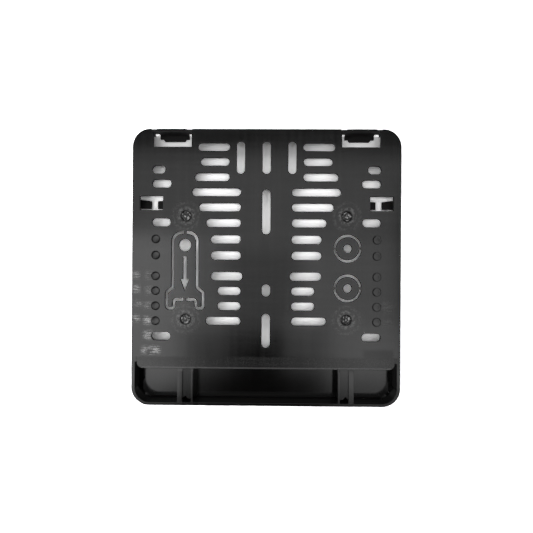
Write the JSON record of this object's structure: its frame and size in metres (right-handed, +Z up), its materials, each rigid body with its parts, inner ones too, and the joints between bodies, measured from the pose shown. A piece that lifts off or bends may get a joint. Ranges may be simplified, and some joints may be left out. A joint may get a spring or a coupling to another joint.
{
  "type": "number plate holder",
  "caption": "Shallow plastic tray that holds a square number plate: slotted back panel, hooked rim, hollow lower strip, break-out key and washers.",
  "frame": {"origin": "middle of the flat back face, which lies on the vehicle", "axes": "+X across, to the right as seen from behind; +Y from the back to the front, where the plate is; +Z up, with the hollow strip at the bottom"},
  "size_m": [0.228, 0.014, 0.235],
  "materials": {
    "black_moulding": "satin black moulded plastic"
  },
  "bodies": {
    "root": {"plate_holder": "black_moulding"}
  },
  "joints": []
}
